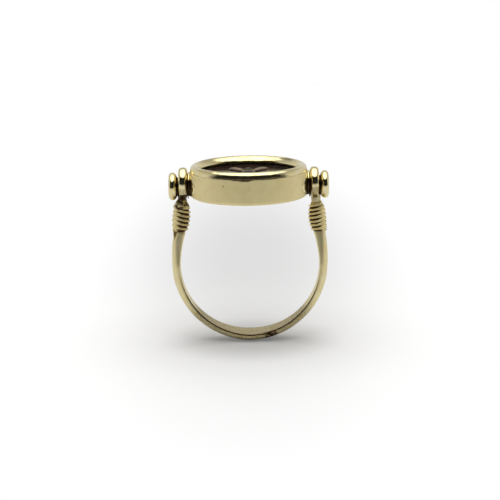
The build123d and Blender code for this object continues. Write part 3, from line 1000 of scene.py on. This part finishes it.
def build_drum():
    """The wall: a bent strip with soft dents, rolled over at its top, rounded at its foot."""
    foot = arc((DRUM_RADIUS - DRUM_FOOT_ROUND, drum_low.z + DRUM_FOOT_ROUND), DRUM_FOOT_ROUND,
               -90, 0, steps=12)
    foot_top = foot[-1][1]
    skin = foot + [(DRUM_RADIUS, foot_top + (WALL_TOP - foot_top) * i / WALL_STEPS)
                   for i in range(1, WALL_STEPS + 1)]
    inner, bevel = DRUM_RADIUS - DRUM_WALL, DRUM_INNER_BEVEL
    inside = [(inner + bevel, WALL_TOP), (inner, WALL_TOP - bevel),
              (inner, drum_low.z + bevel), (inner + bevel, drum_low.z)]

    def point(station, angle):
        radius, z = station
        # the inner wall gets painted shade
        inset, dirt = (0.0, DRUM_INNER_PAINTED_SHADE) if station in inside else wall_point(angle, z)
        return ((radius - inset) * cos(angle), (radius - inset) * sin(angle), z), dirt

    surface = Surface()
    surface.add_rows(skin + inside, AROUND, point, close_rows=True)
    surface.piece("drum_wall", "bezel", satin, "bezel_drum")


# --- bead ---
BEAD_STEPS = 44
BEAD_HANG = 0.07  # how far its outer edge is pressed down over the wall
BEAD_INNER_SLOPE = 0.16  # it is filed to a slope inside, wider at the front and back
BEAD_SIDE_LOSS = 0.08  # and narrower at the sides
BEAD_FRONT_RISE = 0.10
BEAD_OUTER_SQUARENESS = 2.25
BEAD_INNER_SQUARENESS = 1.5
BEAD_FLATS = 0.008  # depths left by the file, broad and narrow
BEAD_FILE_MARKS = 0.006

# worn grooves along the bead: middle angle, half its length in radians, place across the bead
# in degrees from outside, half width in degrees, depth, dirt
BEAD_GROOVES = (
    (radians(41), 0.28, 118, 20, 0.050, 0.62),
    (radians(130), 0.28, 84, 14, 0.032, 0.62),
    (radians(60), 0.14, 80, 11, 0.032, 0.62),
    (radians(97), 0.12, 62, 12, 0.018, 0.35),
)


def bead_grooves(angle, degrees_up):
    """How much the grooves take off the bead at a place, and how dirty they are there."""
    loss = dirt = 0.0
    for middle, length, across, width, depth, level in BEAD_GROOVES:
        off = (angle - middle + pi) % (2 * pi) - pi
        near = max(0.0, 1 - (off / length) ** 2)
        near *= max(0.0, 1 - ((degrees_up - across) / width) ** 2)
        loss += depth * near
        dirt = max(dirt, level * min(1.0, 1.4 * near))
    return loss, dirt


def bead_dirt_and_shade(c, s, degrees_up):
    """Darkening of the bead apart from its grooves: a painted dark reflection on the front of its outer edge,
    painted shade on its far crest and its inner edge, and dirt at its seam with the wall; c and s are the cosine
    and sine of the place.
    """
    front = min(1.0, max(0.0, -s - 0.66) / 0.16)
    # painted dark reflection on the front of the outer edge
    outer_edge = 0.85 * max(0.0, 1.0 - degrees_up / 24) * front
    # painted shade that dims the far crest's highlight
    crest = 0.36 * clamp(2 * s) if 50 < degrees_up < 130 else 0.0
    seam = 0.55 + 0.4 * wobble(c * 9, s * 9, 7.0) if degrees_up == 0 else 0.0
    # painted shade on the inner edge, over the stone
    inner_edge = 0.8 if degrees_up > 172 else 0.0
    return max(outer_edge, crest, seam, inner_edge)


def bead_point(degrees_up, angle):
    """A point of the bead, half round but hand-filed, so that it wanders round the rim."""
    c, s = cos(angle), sin(angle)
    loss, dirt = bead_grooves(angle, degrees_up)
    radius = BEAD_RADIUS - BEAD_FLATS * (1 + wobble(c * 6, s * 6, degrees_up * 0.03))
    radius -= BEAD_FILE_MARKS * (1 + wobble(c * 17, s * 17, degrees_up * 0.05 + 4))
    radius -= loss
    slope, squareness, hang = 0.0, BEAD_OUTER_SQUARENESS, BEAD_HANG
    if degrees_up > 90:
        slope = BEAD_INNER_SLOPE * s * s - BEAD_SIDE_LOSS * c * c
        squareness, hang = BEAD_INNER_SQUARENESS, 0.0
    across, up = superellipse(radians(degrees_up), radius + slope, radius, squareness)
    rise = up * (1 + BEAD_FRONT_RISE * max(0.0, -s)) - hang * (1 - up / radius)
    rho = BEAD_CENTRE + across
    dirt = clamp(max(dirt, bead_dirt_and_shade(c, s, degrees_up)))
    return (rho * c, rho * s, WALL_TOP + rise), dirt


def build_bead():
    surface = Surface()
    surface.add_rows([180 * step / BEAD_STEPS for step in range(BEAD_STEPS + 1)], AROUND,
                     bead_point, close_rows=True)
    surface.piece("bead", "bezel", bead_gold, "bezel_rim")


# --- stone ---
STONE_RINGS = 150
STONE_EDGE_WIDTH = 0.95
STONE_DISH = 0.18
STONE_TOP = WALL_TOP - 0.32
STONE_BEVEL = 0.05
FIELD_MARGIN = 0.1
FIELD_RISE = 0.28  # breadth of the slope from the dished field up to the edge
PETALS = 6

# parts of the rosette: middle from its centre, half length, half width and height of a petal
# and of the small leaves between them; half width and depth of a petal's rib; radius and height
# of the boss; radius, half width and depth of the ring cut into it; number of the pearls,
# radius of their circle, radius and height of a pearl
PETAL = (2.75, 1.75, 0.92, 0.30)
LEAF = (3.9, 1.05, 0.42, 0.11)
RIB = (0.13, 0.035)
BOSS = (0.95, 0.40)
BOSS_RING = (0.62, 0.12, 0.05)
PEARLS = (40, 5.10, 0.27, 0.05)
HIGHLIGHT_FROM = 0.40  # share of a petal's height at which the painted highlight starts


def along_and_across(radius, angle, direction):
    """A place seen from a line out of the centre: how far along it and how far beside it."""
    return radius * cos(angle - direction), radius * sin(angle - direction)


def petal(radius, angle):
    """Height of a petal, fuller at its outer end, and how much painted highlight it gets."""
    middle, half_length, widest, top = PETAL
    rib_half, rib_depth = RIB
    sector = 2 * pi / PETALS
    along, across = along_and_across(radius, angle, round(angle / sector) * sector)
    u = (along - middle) / half_length
    half_width = widest * sqrt(max(0.0, 1 - u * u)) * (0.78 + 0.32 * u)
    if half_width <= 0.02 or abs(across) >= half_width:
        return 0.0, 0.0
    v = across / half_width
    height = top * (1 - u * u) ** 0.45 * (1 - v * v) ** 0.6
    height -= rib_depth * max(0.0, 1 - abs(across) / rib_half) * max(0.0, 1 - u * u)
    return height, clamp((height / top - HIGHLIGHT_FROM) / 0.45)


def leaf(radius, angle):
    """Height of the small leaves between the petals."""
    middle, half_length, widest, top = LEAF
    sector = 2 * pi / PETALS
    direction = (round(angle / sector - 0.5) + 0.5) * sector
    along, across = along_and_across(radius, angle, direction)
    u = (along - middle) / half_length
    half_width = widest * sqrt(max(0.0, 1 - u * u))
    if abs(across) >= half_width:
        return 0.0
    return top * (1 - u * u) ** 0.5 * (1 - (across / half_width) ** 2) ** 0.7


def boss(radius):
    """Height of the domed centre, with a ring cut into it."""
    boss_radius, top = BOSS
    ring_radius, ring_half, ring_depth = BOSS_RING
    dome = top * sqrt(max(0.0, 1 - (radius / boss_radius) ** 2))
    return dome - ring_depth * max(0.0, 1 - abs(radius - ring_radius) / ring_half)


def pearl(radius, angle):
    """Height of the circle of pearls round the field."""
    count, circle, pearl_radius, top = PEARLS
    step = 2 * pi / count
    spot = hypot(radius - circle, circle * ((angle % step) - step / 2))
    return top * max(0.0, 1 - (spot / pearl_radius) ** 2)


def carving(x, y):
    """Height of the rosette over the stone's dished field, and how much painted highlight it gets there."""
    radius, angle = hypot(x, y), atan2(y, x)
    height, painted_highlight = petal(radius, angle)
    others = max(leaf(radius, angle), boss(radius), pearl(radius, angle))
    return (others, 0.0) if others > height else (height, painted_highlight)


def build_stone():
    """The stone: a flat edge, a dished field and a carved rosette of the builder's own design."""
    field_radius = STONE_RADIUS - STONE_EDGE_WIDTH

    def point(station, angle):
        radius, base = station
        x, y = radius * cos(angle), radius * sin(angle)
        carved = STONE_TOP - STONE_DISH <= base and radius < field_radius - FIELD_MARGIN
        # worn is the share of painted highlight on the high places
        height, worn = carving(x, y) if carved else (0.0, 0.0)
        return (x, y, min(base + height, stone_high.z)), worn

    top = []
    for ring in range(STONE_RINGS + 1):
        radius = (STONE_RADIUS - STONE_BEVEL) * ring / STONE_RINGS
        slope = clamp((radius - field_radius + FIELD_MARGIN) / FIELD_RISE)
        top.append((radius, STONE_TOP - STONE_DISH + STONE_DISH * slope * slope * (3 - 2 * slope)))
    under = [(STONE_RADIUS, STONE_TOP - STONE_BEVEL), (STONE_RADIUS, stone_low.z + STONE_BEVEL),
             (STONE_RADIUS - STONE_BEVEL, stone_low.z), (0.0, stone_low.z)]
    surface = Surface()
    surface.add_rows(top + under, AROUND, point, look="painted_highlight")
    surface.piece("rosette_stone", "bezel", dark_stone, "carved_stone")


# --- back plate ---
BACK_SEGMENTS = 240
BACK_WAVES = 0.012
CIRCLE_INSET = 0.76  # a circle scribed near the edge
CIRCLE_HALF_WIDTH = 0.04
CIRCLE_DEPTH = 0.035
BACK_EDGE_INSET = 0.05


def build_back():
    """The back plate: a disc soldered inside the wall, with a scribed circle near its edge."""
    radius = back_high.x
    low, high = back_low.z, back_high.z
    circle = radius - CIRCLE_INSET
    profile = [(radius * share, low) for share in (0.0, 0.3, 0.6, 0.86)]
    profile += [(circle - CIRCLE_HALF_WIDTH, low), (circle, low + CIRCLE_DEPTH),
                (circle + CIRCLE_HALF_WIDTH, low)]
    profile += [(radius - 0.35, low), (radius - 0.12, low + 0.01), (radius - 0.03, low + 0.05),
                (radius, low + 0.12), (radius, high), (0.0, high)]

    def point(station, angle):
        r, z = station
        x, y = r * cos(angle), r * sin(angle)
        lift = BACK_WAVES * (1 + wobble(x * 0.5, y * 0.5, 3.0)) if z < low + 0.02 else 0.0
        dirty = abs(r - circle) < 0.01 or r > radius - BACK_EDGE_INSET
        return (x, y, z + lift), 0.7 if dirty else 0.0

    surface = Surface()
    surface.add_rows(profile, BACK_SEGMENTS, point)
    surface.piece("back_disc", "bezel", plain_back, "back_plate")


def dress_frame_nodes():
    """CAD nodes that stay: the pins and the seat ring, inside the bezel."""
    for node, material in (("left_pivot_pin", polished), ("right_pivot_pin", polished),
                           ("stone_seat_ring", plain_back)):
        set_material(frame["nodes"][node], material)


build_hoop()
build_drum()
build_bead()
build_stone()
build_back()
for name, side in SIDES:
    build_wrap(name, side)
    build_eye(name, side)
    build_cap(name, side)
    build_collar(name, side)
dress_frame_nodes()

# --- stage ---
FLOOR_RADIUS = 260
FLOOR_SEGMENTS = 128
FLOOR_ALBEDO = 0.70  # as the camera sees it
PAINTED_CONTACT_SHADOW_ALBEDO = 0.46  # the same, under the ring: a painted contact shadow
PAINTED_CONTACT_SHADOW_SPAN = (3.5, 12.5)  # distances at which one turns into the other
BOUNCE_ALBEDO = 0.80  # as the ring sees it
DIM_ALBEDO = 0.42  # the same, in front
DIM_NEAR = 35
DIM_FAR = 140
GLOW_IN_PAINTED_SHADE = 0.070  # the floor's own light to the camera, which turns it white further away and is lowered near and behind the ring into a painted grey shade
GLOW_FAR = 0.34
PAINTED_SHADE_CENTRE_Y = 46.0
PAINTED_SHADE_Y_SCALE = 0.25
PAINTED_SHADE_SPAN = (2.0, 27.0)

FRONT_LEVEL = 0.02  # light from the front, and from the sides and behind
SIDE_LEVEL = 0.69
FRONT_TO_SIDE = (-0.42, 0.02)  # Y of the direction, over which it changes
UPPER_SIDE_SHARE = 0.70  # how much dimmer the sides are towards the ceiling
UPPER_SIDE_SPAN = (0.25, 0.60)  # Z of the direction
TOP_LEVEL = 1.75
TOP_MIDDLE_LEVEL = 2.0
TOP_EDGE = (sin(radians(46)), sin(radians(54)))
TOP_MIDDLE = (sin(radians(60)), sin(radians(70)))


def build_floor():
    """A pale table top: it keeps the ring's shadow, has a painted contact shadow under the ring and a painted grey
    shade around and behind it, turns white further away, and is dim in front for the gold to reflect."""
    mesh = bpy.data.meshes.new("table_top")
    radius = FLOOR_RADIUS * MM
    ring = [(radius * cos(angle), radius * sin(angle), FLOOR_Z * MM)
            for angle in full_turn(FLOOR_SEGMENTS)]
    mesh.from_pydata(ring, [], [tuple(range(FLOOR_SEGMENTS))])
    floor = placed(bpy.data.objects.new("table_top", mesh))
    s = Shader("table_white")
    s.bsdf.inputs["Roughness"].default_value = 0.9
    s.bsdf.inputs["Specular IOR Level"].default_value = 0.1
    rays = s.camera_ray()
    bounce = s.span(s.split(s.place)["Y"], source=(-DIM_FAR, -DIM_NEAR),
                    result=(DIM_ALBEDO, BOUNCE_ALBEDO))
    # painted contact shadow under the ring, as the camera sees it
    seen_with_painted_shadow = s.span(s.distance(x=0.0, y=-0.5, y_scale=1.05), source=PAINTED_CONTACT_SHADOW_SPAN,
                  result=(PAINTED_CONTACT_SHADOW_ALBEDO, FLOOR_ALBEDO))
    s.connect(s.either(rays, seen_with_painted_shadow, bounce), "Base Color")
    # the camera's glow, lowered near and behind the ring into a painted grey shade
    glow = s.add("Emission")
    level = s.span(s.distance(x=0.0, y=PAINTED_SHADE_CENTRE_Y, y_scale=PAINTED_SHADE_Y_SCALE), source=PAINTED_SHADE_SPAN,
                   result=(GLOW_IN_PAINTED_SHADE, GLOW_FAR))
    s.link(s.math("MULTIPLY", level, rays), glow.inputs["Strength"])
    both = s.add("AddShader")
    s.link(s.bsdf.outputs[0], both.inputs[0])
    s.link(glow.outputs[0], both.inputs[1])
    s.link(both.outputs[0], s.nodes["Material Output"].inputs["Surface"])
    set_material(floor, s.material)


def build_world():
    """Soft studio: bright overhead, pale behind and at the sides, dark in front; white to the
    camera."""
    world = bpy.data.worlds.new("studio")
    bpy.context.scene.world = world
    world.use_nodes = True
    tree = NodeTree(world.node_tree)
    direction = tree.split(tree.add("TexCoord").outputs["Generated"])
    sideways = tree.span(direction["Y"], FRONT_TO_SIDE, (FRONT_LEVEL, SIDE_LEVEL))
    upper = tree.span(direction["Z"], UPPER_SIDE_SPAN, (1.0, UPPER_SIDE_SHARE))
    sideways = tree.math("MULTIPLY", sideways, upper)
    overhead = tree.span(direction["Z"], TOP_MIDDLE, (TOP_LEVEL, TOP_MIDDLE_LEVEL))
    level = tree.either(tree.span(direction["Z"], TOP_EDGE), overhead, sideways)
    level = tree.either(tree.camera_ray(), 1.0, level)
    background = tree.nodes["Background"]
    background.inputs["Color"].default_value = (1, 1, 1, 1)
    tree.link(level, background.inputs["Strength"])


# --- camera ---
CAMERA_TARGET = Vector((0.03, 0.0, 1.75))
CAMERA_DISTANCE = 220
CAMERA_ELEVATION = radians(12.3)
CAMERA_ROLL = radians(-0.95)
CAMERA_LENS = 127.3
CAMERA_SENSOR = 36
CAMERA_CLIP = (0.002, 10)  # metres


def build_camera():
    camera = placed(bpy.data.objects.new("camera", bpy.data.cameras.new("camera")))
    away = Vector((0, -cos(CAMERA_ELEVATION), sin(CAMERA_ELEVATION)))
    turn = Euler((pi / 2 - CAMERA_ELEVATION, 0, 0)).to_matrix().to_4x4()
    place = Matrix.Translation((CAMERA_TARGET + away * CAMERA_DISTANCE) * MM)
    camera.matrix_world = place @ turn @ Matrix.Rotation(CAMERA_ROLL, 4, "Z")
    camera.data.lens = CAMERA_LENS
    camera.data.sensor_width = CAMERA_SENSOR
    camera.data.clip_start, camera.data.clip_end = CAMERA_CLIP
    bpy.context.scene.camera = camera


build_floor()
build_world()
build_camera()
bpy.context.scene.view_settings.view_transform = "Standard"
